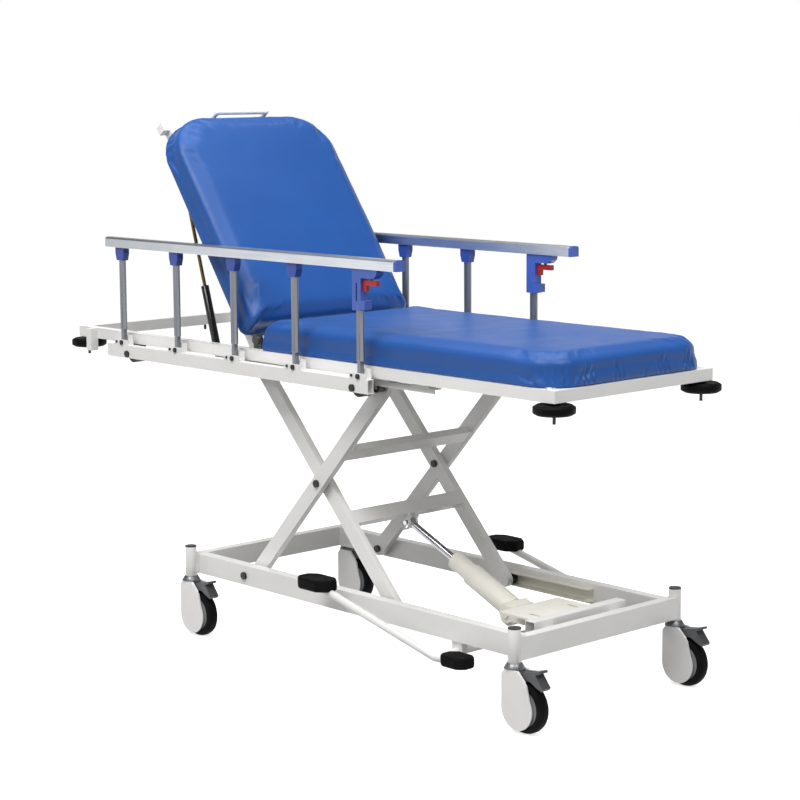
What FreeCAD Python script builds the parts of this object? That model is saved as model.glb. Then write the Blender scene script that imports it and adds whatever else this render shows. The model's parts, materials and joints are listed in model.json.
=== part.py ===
"""Hydraulic stretcher trolley: castored base, scissor lift, top frame, backrest and folding side rails.

Frame: +X towards the foot end, +Y across, +Z up. The origin is on the floor, under the middle of
the bounding box. Lengths are in millimetres.
"""

import FreeCAD, Part
import Sketcher
import os
import re

DIMENSIONS = {
    # top frame and bumpers
    "frame_half_len": 948, "frame_half_wide": 281, "frame_tube": 30, "frame_top": 815, "wall": 2,
    "hip_bar_x": -120, "knee_bar_x": 420, "deck_foot_x": 915, "deck_thick": 3, "deck_half_wide": 262,
    "bumper_inset": 20, "bumper_rad": 50, "bumper_thick": 24, "bumper_low": 756, "bumper_pin": 4,
    "far_pin_y": 166,
    "socket_x": -866, "socket_size": 24, "socket_low": 752, "socket_bore": 8.5,
    # base frame
    "base_mid": 205, "base_half_x": 640, "base_half_y": 272, "base_low": 167, "base_high": 55,
    "base_wide": 30, "post_half_x": 625, "post_half_y": 289, "post_rad": 16, "post_bore": 13,
    "post_low": 162, "post_top": 243, "cap_thick": 3, "bearing_rad": 26, "bearing_low": 149.5,
    "tray_x": 744, "tray_wide": 32, "tray_half_y": 165, "tray_low": 185, "tray_high": 40,
    # castors, measured from the swivel axis
    "trail": 40, "wheel_rad": 62.5, "tyre_half": 16, "hood_half": 23, "hood_bore_half": 19,
    "hood_gap": 3.5, "hood_round": 49, "hood_round_x": 28, "hood_round_z": 57, "hood_top": 149,
    "kingpin_rad": 8, "kingpin_top": 200, "axle_rad": 6, "brake_half": 14, "brake_x": 34,
    "brake_z": 137, "brake_pin": 3,
    # scissor lift
    "lift_x": -205, "lift_z": 193.5, "lift_span": 522, "lift_rise": 565, "arm_wide": 40,
    "arm_thick": 20, "outer_arm_y": 214, "inner_arm_y": 190, "bolt_rad": 6, "bolt_head": 10,
    "roller_rad": 14, "roller_wide": 22, "outer_brace_at": 497, "inner_brace_at": 239,
    "brace_long": 40, "running_gap": 0.05, "channel_web": 3, "channel_deep": 25,
    "low_channel_x": 285, "channel_end_x": 600, "track_x": 295, "track_end_x": 535,
    "track_lip": 5,
    # hydraulic pump
    "pump_x": 556, "pump_z": 183, "ram_len": 431, "ram_tilt": 23.81, "barrel_len": 243,
    "barrel_rad": 24, "barrel_thick_rad": 29, "pump_ear_rad": 32, "ram_rad": 9.5, "ram_pin": 6, "ear_gap": 33,
    "lug_at": 228, "lug_drop": 8, "lug_slot": 14.5, "lug_half": 10,
    # foot pedals
    "pedal_x": 612, "pedal_z": 141, "pedal_tube_rad": 10, "pedal_y": 340, "pump_pad_x": 179,
    "pump_pad_z": 244, "drop_pad_x": 680, "drop_pad_y": 330, "drop_pad_z": 144,
    # backrest and cushions
    "hinge_x": -150, "hinge_z": 838, "rest_angle": 55, "rest_len": 708, "rest_tube": 25,
    "rest_half_wide": 245, "rest_side_y": 200, "rest_tube_low": -50, "pad_half_wide": 281,
    "pad_thick": 75, "back_pad_thick": 79, "pad_corner": 95, "back_pad_corner": 130,
    "seat_head_x": -113, "seat_foot_x": 948,
    "back_pad_low": 24, "back_pad_high": 693, "back_pad_under": -22, "hoop_half_wide": 88,
    "hoop_at": 700.5, "hoop_high": 32, "hoop_rad": 7,
    # gas spring
    "spring_x": -350, "spring_z": 795, "spring_y": -238, "spring_tilt": 106.67, "spring_tube_len": 176,
    "spring_tube_rad": 11, "spring_rod_rad": 5, "spring_len": 462.75, "spring_at": 514,
    # side rails
    "rail_post_x": -685.5, "rail_pitch": 250.6, "rail_y": 308, "foot_pivot_z": 791,
    "head_pivot_z": 1062, "rail_low": 1058, "rail_high": 28, "rail_wide": 30, "rail_wall": 2.4,
    "rail_head_x": -746, "rail_foot_x": 455, "bar_head_x": -755, "bar_foot_x": 352, "bar_low": 749,
    "bar_high": 36, "bar_wide": 20, "bar_in_y": 297, "post_wide": 25, "post_deep": 15,
    "rail_pin": 3, "boss_head_x": -660, "boss_foot_x": 295,
}

doc = FreeCAD.newDocument("stretcher_trolley")
sheet = doc.addObject("Spreadsheet::Sheet", "dims")
for line_number, (alias, number) in enumerate(DIMENSIONS.items(), 1):
    sheet.set(f"A{line_number}", alias)
    sheet.set(f"B{line_number}", str(number))
    sheet.setAlias(f"B{line_number}", alias)
doc.recompute()

nodes = []
AXIS_TURNS = {"x": (0, 1, 0, 90), "y": (1, 0, 0, -90), "z": (0, 0, 1, 0)}


def formula(text):
    """Spreadsheet words in the text become references to their cells."""
    return re.sub(r"[a-z_]+[a-z0-9_]*",
                  lambda word: f"dims.{word[0]}" if word[0] in DIMENSIONS else word[0], str(text))


def bind(obj, **values):
    for name, text in values.items():
        obj.setExpression(name.replace("__", "."), formula(text))
    return obj


def put(obj, at, axis=None, angle=None):
    """Places an object at three formulas, turned by a formula about a fixed axis."""
    if axis:
        obj.Placement = FreeCAD.Placement(FreeCAD.Vector(), FreeCAD.Rotation(FreeCAD.Vector(*axis), 1))
        bind(obj, Placement__Rotation__Angle=angle)
    return bind(obj, Placement__Base__x=at[0], Placement__Base__y=at[1], Placement__Base__z=at[2])


def box(name, size, at):
    obj = doc.addObject("Part::Box", name)
    bind(obj, Length=size[0], Width=size[1], Height=size[2])
    return put(obj, at)


def cylinder(name, radius, length, at, along="z"):
    """A cylinder that starts at a point and runs along +x, +y or +z."""
    obj = doc.addObject("Part::Cylinder", name)
    bind(obj, Radius=radius, Height=length)
    turn = AXIS_TURNS[along]
    obj.Placement = FreeCAD.Placement(FreeCAD.Vector(),
                                      FreeCAD.Rotation(FreeCAD.Vector(*turn[:3]), turn[3]))
    return bind(obj, Placement__Base__x=at[0], Placement__Base__y=at[1], Placement__Base__z=at[2])


def cone(name, low_radius, high_radius, height, at):
    obj = doc.addObject("Part::Cone", name)
    bind(obj, Radius1=low_radius, Radius2=high_radius, Height=height)
    return put(obj, at)


def fuse(name, parts):
    obj = doc.addObject("Part::MultiFuse", name)
    obj.Shapes = parts
    return obj


def cut(name, base, tools):
    obj = doc.addObject("Part::Cut", name)
    obj.Base = base
    obj.Tool = tools[0] if len(tools) == 1 else fuse(name + "_tools", tools)
    return obj


def tube(name, size, at, along):
    """A square-cut rectangular tube, open at both ends along one axis."""
    outer = box(name + "_outer", size, at)
    hole_size, hole_at = list(size), list(at)
    for i, axis in enumerate("xyz"):
        if axis != along:
            hole_size[i] = f"({size[i]}) - 2 * wall"
            hole_at[i] = f"({at[i]}) + wall"
    return cut(name, outer, [box(name + "_bore", hole_size, hole_at)])


def plane_of(body, role):
    return next(feature for feature in body.Origin.OriginFeatures if feature.Role == role)


def outline(body, name, role, corners):
    """A closed sketch whose corners are formulas, measured from the origin of the body."""
    sketch = body.newObject("Sketcher::SketchObject", name)
    sketch.AttachmentSupport = [(plane_of(body, role), "")]
    sketch.MapMode = "FlatFace"
    count = len(corners)
    start = [FreeCAD.Vector(i, i * i, 0) for i in range(count)]
    for i in range(count):
        sketch.addGeometry(Part.LineSegment(start[i], start[(i + 1) % count]), False)
    for i in range(count):
        sketch.addConstraint(Sketcher.Constraint("Coincident", i, 2, (i + 1) % count, 1))
    for i, corner in enumerate(corners):
        for kind, now, text in (("DistanceX", start[i].x, corner[0]), ("DistanceY", start[i].y, corner[1])):
            index = sketch.addConstraint(Sketcher.Constraint(kind, -1, 1, i, 1, now))
            sketch.setExpression(f"Constraints[{index}]", formula(text))
    return sketch


def padded(name, role, corners, length, symmetric=True):
    """A body with one pad: the side view on XZ_Plane, the plan on XY_Plane, the end on YZ_Plane."""
    body = doc.addObject("PartDesign::Body", name)
    pad = body.newObject("PartDesign::Pad", name + "_pad")
    pad.Profile = outline(body, name + "_outline", role, corners)
    pad.SideType = "Symmetric" if symmetric else "One side"
    bind(pad, Length=length)
    doc.recompute()
    return body


def turned(name, corners):
    """A body of revolution about its own Z axis; corners are (radius, height) formulas."""
    body = doc.addObject("PartDesign::Body", name)
    sketch = outline(body, name + "_outline", "XZ_Plane", corners)
    spin = body.newObject("PartDesign::Revolution", name + "_spin")
    spin.Profile = sketch
    spin.ReferenceAxis = (sketch, ["V_Axis"])
    spin.Angle = 360
    doc.recompute()
    return body


def rounded(body, radius, wanted):
    """Rounds the edges of the body's last feature that the test picks out."""
    base = body.Tip
    edges = [f"Edge{i}" for i, edge in enumerate(base.Shape.Edges, 1) if wanted(edge)]
    fillet = body.newObject("PartDesign::Fillet", body.Name + f"_round{len(body.Group)}")
    fillet.Base = (base, edges)
    bind(fillet, Radius=radius)
    doc.recompute()
    return body


def runs_along(axis):
    """True for straight edges along one axis of the body."""
    unit = FreeCAD.Vector(*[float(axis == name) for name in "xyz"])

    def test(edge):
        return isinstance(edge.Curve, Part.Line) and abs(abs(edge.Curve.Direction.dot(unit)) - 1) < 1e-6
    return test


def node(label, parts):
    """One file: a single sub-part, or a group of separate solids."""
    if len(parts) == 1:
        obj = parts[0]
    else:
        obj = doc.addObject("Part::Compound", label)
        obj.Links = parts
    obj.Label = label
    nodes.append(obj)
    return obj


def side_y(side, inner, outer):
    """The low y of something that spans inner..outer on one side of the trolley."""
    return f"({inner})" if side > 0 else f"-({outer})"


SIDES = {"far": 1, "near": -1}
CORNERS = {
    "head_near": (-1, -1), "head_far": (-1, 1), "foot_near": (1, -1), "foot_far": (1, 1),
}
BUMPER_CORNERS = {name: signs for name, signs in CORNERS.items() if name != "head_far"}


# ---------------------------------------------------------------- base

def base_frame():
    """Two long rails between two cross tubes, the pump tray, and the pedal shaft's hangers."""
    parts = []
    for name, side in SIDES.items():
        parts.append(cut(f"base_rail_{name}_drilled", tube(
            f"base_rail_{name}",
            ("2 * (base_half_x - base_wide)", "base_wide", "base_high"),
            ("base_mid - base_half_x + base_wide", side_y(side, "base_half_y - base_wide", "base_half_y"),
             "base_low"),
            "x"), [cylinder(f"base_rail_{name}_hole", "bolt_rad", "base_wide + 2",
                            ("lift_x", side_y(side, "base_half_y - base_wide - 1", "base_half_y + 1"),
                             "lift_z"), "y")]))
        hanger = box(f"pedal_hanger_{name}", ("36", "16", "base_low - pedal_z + 16"),
                     ("pedal_x - 18", side_y(side, "base_half_y - base_wide + 7", "base_half_y - 7"),
                      "pedal_z - 16"))
        parts.append(cut(f"pedal_hanger_{name}_bored", hanger, [cylinder(
            f"pedal_hanger_{name}_hole", "pedal_tube_rad + running_gap", "2 * base_half_y",
            ("pedal_x", "-base_half_y", "pedal_z"), "y")]))
    for name, low_x in (("head", "base_mid - base_half_x"), ("foot", "base_mid + base_half_x - base_wide")):
        cross = tube(f"base_cross_{name}", ("base_wide", "2 * base_half_y + 24", "base_high"),
                     (low_x, "-base_half_y - 12", "base_low"), "y")
        post_x = f"base_mid {'+' if name == 'foot' else '-'} post_half_x"
        seats = [cylinder(f"base_cross_{name}_seat_{end}", "post_rad", "base_high + 2",
                          (post_x, f"{side} * post_half_y", "base_low - 1"))
                 for end, side in SIDES.items()]
        parts.append(cut(f"base_cross_{name}_fitted", cross, seats))
    parts.append(tube("pump_tray", ("tray_wide", "2 * tray_half_y", "tray_high"),
                      ("tray_x", "-tray_half_y", "tray_low"), "y"))
    for name, side in SIDES.items():
        parts.append(box(f"tray_tie_{name}",
                         ("base_mid + base_half_x - base_wide - tray_x - 3", "40", "20"),
                         ("tray_x + 3", side_y(side, "100", "140"), "tray_low + 3")))
    node("base_frame", parts)


def corner_posts():
    posts, fittings = [], []
    for name, (end, side) in CORNERS.items():
        at = (f"base_mid + {end} * post_half_x", f"{side} * post_half_y")
        posts.append(cut(f"post_{name}", cylinder(f"post_{name}_outer", "post_rad", "post_top - post_low",
                                                  (*at, "post_low")),
                         [cylinder(f"post_{name}_bore", "post_bore", "post_top - post_low + 2",
                                   (*at, "post_low - 1"))]))
        fittings.append(cylinder(f"cap_{name}", "post_rad", "cap_thick", (*at, "post_top")))
        bearing = cone(f"bearing_{name}_cone", "bearing_rad", "post_rad + 2", "post_low - bearing_low",
                       (*at, "bearing_low"))
        fittings.append(cut(f"bearing_{name}", bearing, [cylinder(
            f"bearing_{name}_hole", "kingpin_rad + running_gap", "30", (*at, "bearing_low - 5"))]))
    node("corner_posts", posts)
    node("post_caps_and_swivel_bearings", fittings)


def low_roller_channels():
    """C channels inside the base rails, open inwards, that the inner arms' rollers run in."""
    parts = []
    for name, side in SIDES.items():
        deep = f"{side} * channel_deep"
        web = f"{side} * (channel_deep - channel_web)"
        half, out = "(roller_rad + 0.4)", "(roller_rad + 0.4 + channel_web)"
        channel = padded(f"low_channel_{name}", "YZ_Plane", [
            ("0", f"-{out}"), (deep, f"-{out}"), (deep, out), ("0", out),
            ("0", half), (web, half), (web, f"-{half}"), ("0", f"-{half}")],
            "channel_end_x - low_channel_x", symmetric=False)
        parts.append(put(channel,
                         ("low_channel_x", f"{side} * (base_half_y - base_wide - channel_deep)", "lift_z")))
    node("low_roller_channels", parts)


def base_pivot_bolts():
    """The fixed pivots of the outer arms: a bolt through each base rail, with a collar and a nut."""
    node("base_pivot_bolts", [bolt(f"base_bolt_{name}", "lift_x", "lift_z", side, (
        ("head", "bolt_head", "base_half_y", "base_half_y + 6"),
        ("shank", "bolt_rad", "outer_arm_y - 8", "base_half_y"),
        ("collar", "bolt_head + 2", "outer_arm_y + arm_thick + 0.4", "base_half_y - base_wide"),
        ("nut", "bolt_head", "outer_arm_y - 8", "outer_arm_y - 0.4"))) for name, side in SIDES.items()])


def pump_bracket():
    """The slotted plate on the tray, with two ears that carry the pump."""
    plate = box("pump_plate", ("tray_x - 596", "210", "5"), ("596", "-105", "tray_low + 20"))
    slots = [box(f"pump_slot_{name}", ("34", "11", "9"), ("668", f"{side} * 68 - 5.5", "tray_low + 18"))
             for name, side in SIDES.items()]
    ears = []
    for name, side in SIDES.items():
        low_y = side_y(side, "ear_gap", "ear_gap + 6")
        web = box(f"pump_ear_{name}_web", ("tray_x - pump_x", "6", "38"),
                  ("pump_x", low_y, "tray_low - 18"))
        eye = cylinder(f"pump_ear_{name}_eye", "22", "6", ("pump_x", low_y, "pump_z"), "y")
        ears += [web, eye]
    solid = cut("pump_bracket_solid", fuse("pump_bracket_blank", [plate] + ears), slots)
    pin = fuse("pump_pin", [
        cylinder("pump_pin_shank", "ram_pin", "2 * ear_gap + 20", ("pump_x", "-ear_gap - 10", "pump_z"),
                 "y"),
        cylinder("pump_pin_head", "9", "4", ("pump_x", "-ear_gap - 10", "pump_z"), "y"),
        cylinder("pump_pin_nut", "9", "4", ("pump_x", "ear_gap + 6", "pump_z"), "y")])
    bored = cut("pump_bracket_bored", solid, [cylinder(
        "pump_bracket_hole", "ram_pin", "2 * ear_gap + 20", ("pump_x", "-ear_gap - 10", "pump_z"), "y")])
    node("pump_bracket", [bored, pin])


# ---------------------------------------------------------------- castors

def castor(name, end, side):
    """Twin-cheek hood with its kingpin and axle, the wheel, and the brake lever above the tyre."""
    at = (f"base_mid + {end} * post_half_x", f"{side} * post_half_y", "0")
    wide = "2 * hood_half"
    crown = padded(f"hood_crown_{name}", "XZ_Plane", [
        ("hood_round_x - hood_round", "hood_round_z"), ("hood_round_x - hood_round", "hood_top - 12"),
        ("hood_round_x - hood_round + 10", "hood_top"), ("30", "hood_top"), ("60", "hood_top - 28"),
        ("hood_round_x + hood_round", "hood_round_z")], wide)
    round_part = cylinder(f"hood_round_{name}", "hood_round", wide,
                          ("hood_round_x", "-hood_half", "hood_round_z"), "y")
    kingpin = cylinder(f"kingpin_{name}", "kingpin_rad", "kingpin_top - hood_top + 4",
                       ("0", "0", "hood_top - 4"))
    wheel_space = cylinder(f"hood_space_{name}", "wheel_rad + hood_gap", "2 * hood_bore_half",
                           ("trail", "-hood_bore_half", "wheel_rad"), "y")
    brake_space = box(f"hood_slot_{name}", ("90", "2 * brake_half + 4", "50"),
                      ("14", "-brake_half - 2", "112"))
    pin_holes = cylinder(f"hood_pin_hole_{name}", "brake_pin", wide, ("brake_x", "-hood_half", "brake_z"),
                         "y")
    hood = cut(f"hood_{name}", fuse(f"hood_blank_{name}", [crown, round_part, kingpin]),
               [wheel_space, brake_space, pin_holes])
    axle = cylinder(f"axle_{name}", "axle_rad", "2 * hood_bore_half",
                    ("trail", "-hood_bore_half", "wheel_rad"), "y")
    brake_pin = cylinder(f"brake_pin_{name}", "brake_pin", wide, ("brake_x", "-hood_half", "brake_z"), "y")
    put(node(f"castor_hood_{name}", [hood, axle, brake_pin]), at)

    wheel = turned(f"castor_wheel_{name}", [
        ("axle_rad + running_gap", "-tyre_half - 2"), ("20", "-tyre_half - 2"), ("22", "-tyre_half"),
        ("wheel_rad - 9", "-tyre_half"), ("wheel_rad - 2", "-tyre_half + 5"), ("wheel_rad", "-5"),
        ("wheel_rad", "5"), ("wheel_rad - 2", "tyre_half - 5"), ("wheel_rad - 9", "tyre_half"),
        ("22", "tyre_half"), ("20", "tyre_half + 2"), ("axle_rad + running_gap", "tyre_half + 2")])
    put(node(f"castor_wheel_{name}", [wheel]), (f"{at[0]} + trail", at[1], "wheel_rad"), (1, 0, 0), "-90")

    lever = padded(f"brake_{name}", "XZ_Plane", [
        ("19", "141"), ("22", "146"), ("64", "152"), ("93", "160"), ("95", "154.5"), ("80", "149"),
        ("104", "119"), ("100", "113"), ("84", "119"), ("64", "129.5"), ("42", "130.5")], "2 * brake_half")
    hole = cylinder(f"brake_hole_{name}", "brake_pin + running_gap", wide,
                    ("brake_x", "-hood_half", "brake_z"), "y")
    put(node(f"castor_brake_{name}", [cut(f"brake_bored_{name}", lever, [hole])]), at)


# ---------------------------------------------------------------- scissor lift

ARM_LEN = "sqrt(lift_span^2 + lift_rise^2)"
ARM_TILT = "atan2(lift_rise; lift_span)"


def bolt(name, x, z, side, spans):
    """A bolt along Y from stacked lengths of (piece, radius, inner y, outer y)."""
    return fuse(name, [cylinder(f"{name}_{piece}", radius, f"({outer}) - ({inner})",
                                (x, side_y(side, inner, outer), z), "y") for piece, radius, inner,
                                outer in spans])


def arm(name, inner_face, side, way, bored, axle_at):
    """One lift arm from its lower end at the origin: a tube with bored bosses and one fixed axle."""
    low_y = side_y(side, inner_face, f"{inner_face} + arm_thick")
    start = "0" if way > 0 else f"-{ARM_LEN}"
    axle_y = side_y(side, inner_face, f"{inner_face} + arm_thick + roller_wide + 4")
    blank = fuse(f"{name}_blank", [
        box(f"{name}_bar", (ARM_LEN, "arm_thick", "arm_wide"), (start, low_y, "-arm_wide / 2")),
        cylinder(f"{name}_low_end", "arm_wide / 2", "arm_thick", ("0", low_y, "0"), "y"),
        cylinder(f"{name}_top_end", "arm_wide / 2", "arm_thick", (f"{way} * {ARM_LEN}", low_y, "0"), "y"),
        cylinder(f"{name}_axle", "bolt_rad", "arm_thick + roller_wide + 4",
                 (f"{way * axle_at} * {ARM_LEN}", axle_y, "0"), "y")])
    tools = [cylinder(f"{name}_hole_{i}", "bolt_rad + running_gap", "arm_thick + 2",
                      (f"{way * share} * {ARM_LEN}", f"{low_y} - 1", "0"), "y") for i,
                      share in enumerate(bored)]
    for half, low_end in (("low", f"min(26 * {way}; {way} * ({ARM_LEN} / 2 - 16))"),
                          ("top", f"min({way} * ({ARM_LEN} / 2 + 16); {way} * ({ARM_LEN} - 26))")):
        tools.append(box(f"{name}_hollow_{half}",
                         (f"{ARM_LEN} / 2 - 42", "arm_thick - 2 * wall", "arm_wide - 2 * wall"),
                         (low_end, f"{low_y} + wall", "wall - arm_wide / 2")))
    return cut(name, blank, tools)


def outer_arms():
    """Pivots on the base at the head side; its upper ends carry rollers under the top frame."""
    parts = [arm(f"outer_arm_{name}", "outer_arm_y", side, 1, (0, 0.5), 1) for name, side in SIDES.items()]
    parts.append(tube("outer_brace", ("brace_long", "2 * outer_arm_y", "arm_thick"),
                      ("outer_brace_at", "-outer_arm_y", "-arm_thick"), "y"))
    put(node("outer_arms", parts), ("lift_x", "0", "lift_z"), (0, -1, 0), ARM_TILT)


def inner_arms():
    """Pivots under the top frame at the head side; its lower ends carry rollers in the base."""
    parts = [arm(f"inner_arm_{name}", "inner_arm_y", side, -1, (0.5, 1), 0) for name, side in SIDES.items()]
    parts.append(tube("inner_brace", ("brace_long", "2 * inner_arm_y", "arm_thick"),
                      ("-inner_brace_at - brace_long", "-inner_arm_y", "0"), "y"))
    for name, side in SIDES.items():
        low_y = side_y(side, "lug_half", "lug_half + 6")
        plate = fuse(f"ram_lug_{name}_blank", [
            cylinder(f"ram_lug_{name}_eye", "lug_slot + 5", "6", ("-lug_at", low_y, "-lug_drop"), "y"),
            box(f"ram_lug_{name}_root", ("lug_slot", "6", "30"), ("-inner_brace_at", low_y, "-10"))])
        parts.append(cut(f"ram_lug_{name}", plate, [
            cylinder(f"ram_lug_{name}_slot", "lug_slot", "8", ("-lug_at", f"{low_y} - 1", "-lug_drop"),
                     "y"),
            box(f"ram_lug_{name}_trim", ("20", "8", "60"),
                ("-inner_brace_at - 20", f"{low_y} - 1", "-40"))]))
    put(node("inner_arms", parts), ("lift_x + lift_span", "0", "lift_z"), (0, 1, 0), ARM_TILT)


def mid_bolts():
    """The bolts that the two pairs of arms turn on, with a washer between the arms."""
    node("lift_mid_bolts",
         [bolt(f"mid_bolt_{name}", "lift_x + lift_span / 2", "lift_z + lift_rise / 2", side, (
        ("head", "bolt_head", "outer_arm_y + arm_thick", "outer_arm_y + arm_thick + 5"),
        ("shank", "bolt_rad", "inner_arm_y - 6", "outer_arm_y + arm_thick"),
        ("washer", "bolt_head + 2", "inner_arm_y + arm_thick + 0.4", "outer_arm_y"),
        ("nut", "bolt_head", "inner_arm_y - 6", "inner_arm_y - 0.4"))) for name, side in SIDES.items()])


def rollers(label, inner, at_z):
    parts = []
    for name, side in SIDES.items():
        at = ("lift_x + lift_span", side_y(side, inner, f"{inner} + roller_wide"), at_z)
        parts.append(cut(f"{label}_{name}",
                         cylinder(f"{label}_{name}_rim", "roller_rad", "roller_wide", at, "y"),
                         [cylinder(f"{label}_{name}_bore", "bolt_rad + running_gap", "roller_wide", at,
                                   "y")]))
    node(label, parts)


# ---------------------------------------------------------------- pump and pedals

def pump():
    """Barrel and block that swing on the bracket's pin, and the chromed ram with its eye."""
    turn = ((0, 1, 0), "ram_tilt")
    at = ("pump_x", "0", "pump_z")
    ear = padded("pump_ear_block", "XZ_Plane", [
        (f"pump_ear_rad * cos({45 * k + 22.5} deg)", f"pump_ear_rad * sin({45 * k + 22.5} deg)")
        for k in range(8)], "2 * ear_gap - 2")
    lower = cylinder("pump_lower_barrel", "barrel_thick_rad", "158", ("-175", "0", "0"), "x")
    barrel = cylinder("pump_barrel", "barrel_rad", "barrel_len - 110", ("-barrel_len", "0", "0"), "x")
    holes = [cylinder("pump_pin_bore", "ram_pin + running_gap", "80", ("0", "-40", "0"), "y"),
             cylinder("pump_ram_bore", "ram_rad + running_gap", "barrel_len",
                      ("-barrel_len - 20", "0", "0"), "x")]
    put(node("pump_body", [cut("pump_body_bored", fuse("pump_body_blank", [ear, lower, barrel]), holes)]),
        at, *turn)

    rod = cylinder("ram_rod_shaft", "ram_rad", "ram_len - 220", ("-ram_len", "0", "0"), "x")
    eye = cylinder("ram_rod_eye", "12", "2 * lug_half - 2", ("-ram_len", "1 - lug_half", "0"), "y")
    pin = cylinder("ram_rod_pin", "ram_pin", "2 * lug_half + 20", ("-ram_len", "-lug_half - 10", "0"), "y")
    put(node("pump_ram", [fuse("ram_rod_whole", [rod, eye, pin])]), at, *turn)


def pedals():
    """One rocking frame: a cross shaft with a lever on each side, and two rubber pads on each."""
    tubes, pads = [], []
    shaft = doc.addObject("PartDesign::Body", "pedal_shaft")
    path = shaft.newObject("Sketcher::SketchObject", "pedal_shaft_circle")
    path.AttachmentSupport = [(plane_of(shaft, "XZ_Plane"), "")]
    path.MapMode = "FlatFace"
    path.addGeometry(Part.Circle(FreeCAD.Vector(), FreeCAD.Vector(0, 0, 1), 10), False)
    path.addConstraint(Sketcher.Constraint("Coincident", 0, 3, -1, 1))
    path.addConstraint(Sketcher.Constraint("Radius", 0, 10))
    path.setExpression("Constraints[1]", formula("pedal_tube_rad"))
    pad = shaft.newObject("PartDesign::Pad", "pedal_shaft_pad")
    pad.Profile = path
    pad.SideType = "Symmetric"
    bind(pad, Length="2 * pedal_y")
    doc.recompute()
    tubes.append(put(shaft, ("pedal_x", "0", "pedal_z")))
    for name, side in SIDES.items():
        y = f"{side} * pedal_y"
        hub = doc.addObject("Part::Sphere", f"pedal_bend_{name}")
        bind(hub, Radius="pedal_tube_rad")
        put(hub, ("pedal_x", y, "pedal_z"))
        long_tube = put(cylinder(f"pedal_long_{name}", "pedal_tube_rad",
                                 "sqrt((pedal_x - pump_pad_x)^2 + (pump_pad_z - pedal_z)^2) - 20",
                                 ("0", "0", "0")),
                        ("pedal_x", y, "pedal_z"), (0, -1, 0),
                        "90 deg - atan2(pump_pad_z - pedal_z; pedal_x - pump_pad_x)")
        short_tube = put(cylinder(f"pedal_short_{name}", "pedal_tube_rad", "drop_pad_x - pedal_x + 20",
                                  ("0", "0", "0")),
                         ("pedal_x", y, "pedal_z"), (0, 1, 0),
                         "90 deg - atan2(drop_pad_z - pedal_z; drop_pad_x - pedal_x)")
        tubes.append(fuse(f"pedal_lever_{name}", [hub, long_tube, short_tube]))
        for kind, x, pad_y, z, half_long, half_wide, thick in (
                ("pump", "pump_pad_x", "pedal_y", "pump_pad_z + 6", 58, 37, 30),
                ("drop", "drop_pad_x", "drop_pad_y", "drop_pad_z", 44, 32, 28)):
            rubber = pedal_pad(f"pedal_pad_{kind}_{name}", half_long, half_wide, thick)
            put(rubber, (x, f"{side} * {pad_y}", f"{z} - {thick} / 2"))
            pads.append(cut(f"pedal_pad_{kind}_{name}_fitted", rubber,
                            [doc.getObject(f"pedal_lever_{name}")]))
    node("pedal_frame", tubes)
    node("pedal_pads", pads)


def pedal_pad(name, half_long, half_wide, thick):
    """An oval pad: an eight-sided block with rounded uprights."""
    corners = [(f"{x * half_long}", f"{y * half_wide}") for x, y in
               ((1, 0.45), (0.55, 1), (-0.55, 1), (-1, 0.45), (-1, -0.45), (-0.55, -1), (0.55, -1),
                (1, -0.45))]
    body = padded(name, "XY_Plane", corners, str(thick), symmetric=False)
    body = rounded(body, "14", runs_along("z"))
    middle = body.Shape.BoundBox.Center.z
    return rounded(body, "8", lambda edge: abs(edge.CenterOfMass.z - middle) > middle - 1)


# ---------------------------------------------------------------- top frame

def top_frame():
    parts = []
    for name, side in SIDES.items():
        parts.append(tube(f"frame_rail_{name}",
                          ("2 * (frame_half_len - frame_tube)", "frame_tube", "frame_tube"),
                          ("frame_tube - frame_half_len",
                           side_y(side, "frame_half_wide - frame_tube", "frame_half_wide"),
                           "frame_top - frame_tube"), "x"))
    for name, low_x in (("head", "-frame_half_len"), ("foot", "frame_half_len - frame_tube")):
        cross = tube(f"frame_cross_{name}_tube", ("frame_tube", "2 * frame_half_wide", "frame_tube"),
                     (low_x, "-frame_half_wide", "frame_top - frame_tube"), "y")
        ends = [box(f"frame_cross_{name}_end_{face}", ("frame_tube", "wall", "frame_tube"), (
            low_x, side_y(side, "frame_half_wide - wall", "frame_half_wide"), "frame_top - frame_tube"))
                for face, side in SIDES.items()]
        parts.append(fuse(f"frame_cross_{name}", [cross] + ends))
    for name, low_x in (("hip", "hip_bar_x"), ("knee", "knee_bar_x")):
        parts.append(tube(f"frame_cross_{name}",
                          ("frame_tube", "2 * (frame_half_wide - frame_tube)", "frame_tube"),
                          (low_x, "frame_tube - frame_half_wide", "frame_top - frame_tube"), "y"))
    node("top_frame", parts)
    node("leg_deck", [box("leg_deck_sheet", ("deck_foot_x - hip_bar_x", "2 * deck_half_wide", "deck_thick"),
                          ("hip_bar_x", "-deck_half_wide", "frame_top"))])


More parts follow.
